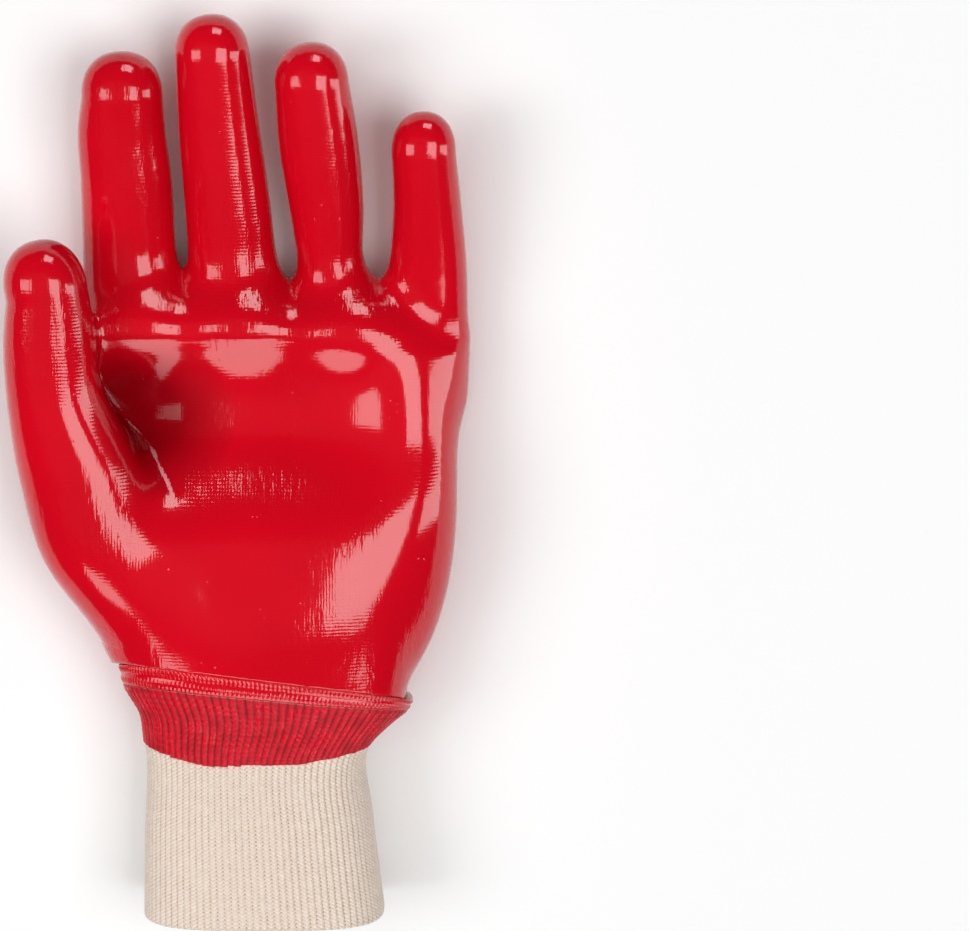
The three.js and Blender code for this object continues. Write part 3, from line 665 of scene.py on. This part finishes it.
# Bare rib knit: each rib is a column of slanting stitches, mirrored about its middle, over tan valleys.
def cottonMaterial():
    look = Finish("cotton_rib_knit")
    where = look.node("TexCoord", out=3)
    spread = look.node("TexCoord", out=2)
    u = look.node("SeparateXYZ", {0: spread})
    v = look.node("SeparateXYZ", {0: spread}, out=1)
    rib = look.math("FRACT", look.math("MULTIPLY", u, float(knitPiece["ribs"])))
    across = look.math("ABSOLUTE", look.math("SUBTRACT", look.math("MULTIPLY", rib, 2.0), 1.0))
    wander = look.math("MULTIPLY", look.noise(where, 240.0, 1.0), 0.5)
    row = look.math("ADD", look.math("DIVIDE", v, knitPiece["stitch"]), wander)
    slant = look.math("MULTIPLY", look.math("ADD", row, look.math("MULTIPLY", across, 0.55)), 2 * math.pi)
    leg = look.math("SINE", slant)
    thick = look.math("SINE", look.math("MULTIPLY", across, math.pi))
    yarn = look.math("MULTIPLY", leg, look.math("MAXIMUM", thick, 0.15))
    fibres = look.noise(where, 2600.0, 3.0, 0.7)
    height = look.math("ADD", look.math("MULTIPLY", yarn, 0.5), look.math("MULTIPLY", fibres, 0.45))
    bump = look.node("Bump", {"Height": height, "Distance": cottonLook["yarnHeight"]})
    dots = look.range(look.math("SINE", look.math("MULTIPLY", row, 2 * math.pi)), -0.4, 0.8, 0.2, 1.0)
    gap = look.math("MAXIMUM", look.math("MULTIPLY", look.range(across, 0.62, 0.98), dots),
                    look.math("MULTIPLY", look.range(leg, -0.3, -1.0), 0.3))
    stain = look.range(look.noise(where, 330.0, 2.0), 0.3, 0.7, 0.55, 1.15)
    body = look.between(look.noise(where, 700.0, 2.0), cottonLook["cream"], cottonLook["pale"])
    colour = look.node("Mix", {0: look.math("MULTIPLY", gap, stain), 6: body, 7: (*cottonLook["tan"], 1)},
                       out=2, data_type="RGBA")
    look.shade(Base_Color=colour, Roughness=cottonLook["roughness"], Normal=bump,
               Sheen_Weight=cottonLook["sheen"], Sheen_Roughness=cottonLook["sheenRoughness"])
    return look.material


liningLook = dict(cream=(0.8, 0.7, 0.58), pale=(0.88, 0.8, 0.7), roughness=0.95, loopHeight=0.0003)


# The plain cotton inside, with its small loops.
def liningMaterial():
    look = Finish("cotton_lining")
    where = look.node("TexCoord", out=3)
    loops = look.node("TexVoronoi", {"Vector": where, "Scale": 950.0}, feature="F1")
    bump = look.node("Bump", {"Height": loops, "Distance": liningLook["loopHeight"]})
    look.shade(Base_Color=look.between(look.noise(where, 300.0), liningLook["cream"], liningLook["pale"]),
               Roughness=liningLook["roughness"], Normal=bump)
    return look.material


floorPiece = dict(halfWidth=6.0, colour=(0.93, 0.93, 0.93, 1), roughness=0.9)  # in metres


def floorMaterial():
    look = Finish("pale_floor")
    look.shade(Base_Color=floorPiece["colour"], Roughness=floorPiece["roughness"])
    return look.material


coat, lining = coatMaterial(), liningMaterial()
makeHand([coat, lining])
makeSeam([coat, lining])
makeBand([bandMaterial(), lining])
makeCuff([cottonMaterial()])
print("pieces and materials made")


# Camera above the glove, leaning a little towards its fingertips, in millimetres and degrees.
view = dict(target=(67.5, 1.5, 22), lean=10, distance=1150, pixelsPerMm=3.597, imageWidth=969, sensor=36)


def makeCamera():
    data = bpy.data.cameras.new("camera")
    data.sensor_width = view["sensor"]
    data.lens = view["pixelsPerMm"] * view["distance"] * view["sensor"] / view["imageWidth"]
    data.clip_start, data.clip_end = 0.05, 10
    camera = bpy.data.objects.new("camera", data)
    scene.collection.objects.link(camera)
    lean = math.radians(view["lean"])
    back = np.array([0, math.sin(lean), math.cos(lean)]) * view["distance"]
    camera.location = (np.array(view["target"]) + back) / 1000
    camera.rotation_euler = (-lean, 0, 0)
    scene.camera = camera


def makeFloor():
    size = floorPiece["halfWidth"]
    mesh = bpy.data.meshes.new("floor")
    mesh.from_pydata([(-size, -size, 0), (size, -size, 0), (size, size, 0), (-size, size, 0)], [], [(0, 1, 2, 3)])
    mesh.materials.append(floorMaterial())
    floor = bpy.data.objects.new("floor", mesh)
    scene.collection.objects.link(floor)


# Lamps: the part of the room that each fills, seen from the glove, in degrees from straight up: sideways and
# towards the fingertips. Bright is its radiance. It lights the colours, shows in the gloss, or does both.
lamps = dict(
    leftBox=dict(aside=(-50, -30), ahead=(-16, 12), bright=4.6, lights=True, shows=True),
    rightBox=dict(aside=(10, 40), ahead=(-16, 12), bright=5.6, lights=True, shows=True),
    baseBox=dict(aside=(-25, 40), ahead=(-60, -38), bright=4, lights=False, shows=True),
    tipBox=dict(aside=(4, 24), ahead=(54, 74), bright=6.5, lights=False, shows=True),
    edgeBox=dict(aside=(74, 89), ahead=(-30, 25), bright=5, lights=False, shows=True),
    fill=dict(aside=(-40, 10), ahead=(-30, 30), bright=1.8, lights=True, shows=False),
)
lampDistance = 2.5  # in metres
roomLight = 0.03


def lampWay(aside, ahead):
    zenith, around = math.radians(math.hypot(aside, ahead)), math.atan2(ahead, aside)
    return Vector((math.sin(zenith) * math.cos(around), math.sin(zenith) * math.sin(around), math.cos(zenith)))


def makeLamps():
    for name, lamp in lamps.items():
        (left, right), (low, high) = lamp["aside"], lamp["ahead"]
        way = lampWay((left + right) / 2, (low + high) / 2)
        data = bpy.data.lights.new(name, "AREA")
        data.shape = "RECTANGLE"
        data.size = 2 * lampDistance * math.tan(math.radians(right - left) / 2)
        data.size_y = 2 * lampDistance * math.tan(math.radians(high - low) / 2)
        data.energy = lamp["bright"] * math.pi * data.size * data.size_y
        made = bpy.data.objects.new(name, data)
        made.location = way * lampDistance
        made.rotation_euler = way.to_track_quat("Z", "Y").to_euler()
        made.visible_diffuse = lamp["lights"]
        made.visible_glossy = lamp["shows"]
        scene.collection.objects.link(made)
    world = bpy.data.worlds.new("room")
    world.use_nodes = True
    world.node_tree.nodes["Background"].inputs["Color"].default_value = (1, 1, 1, 1)
    world.node_tree.nodes["Background"].inputs["Strength"].default_value = roomLight
    scene.world = world


makeCamera()
makeFloor()
makeLamps()
print("camera, floor and", len(lamps), "lamps made")
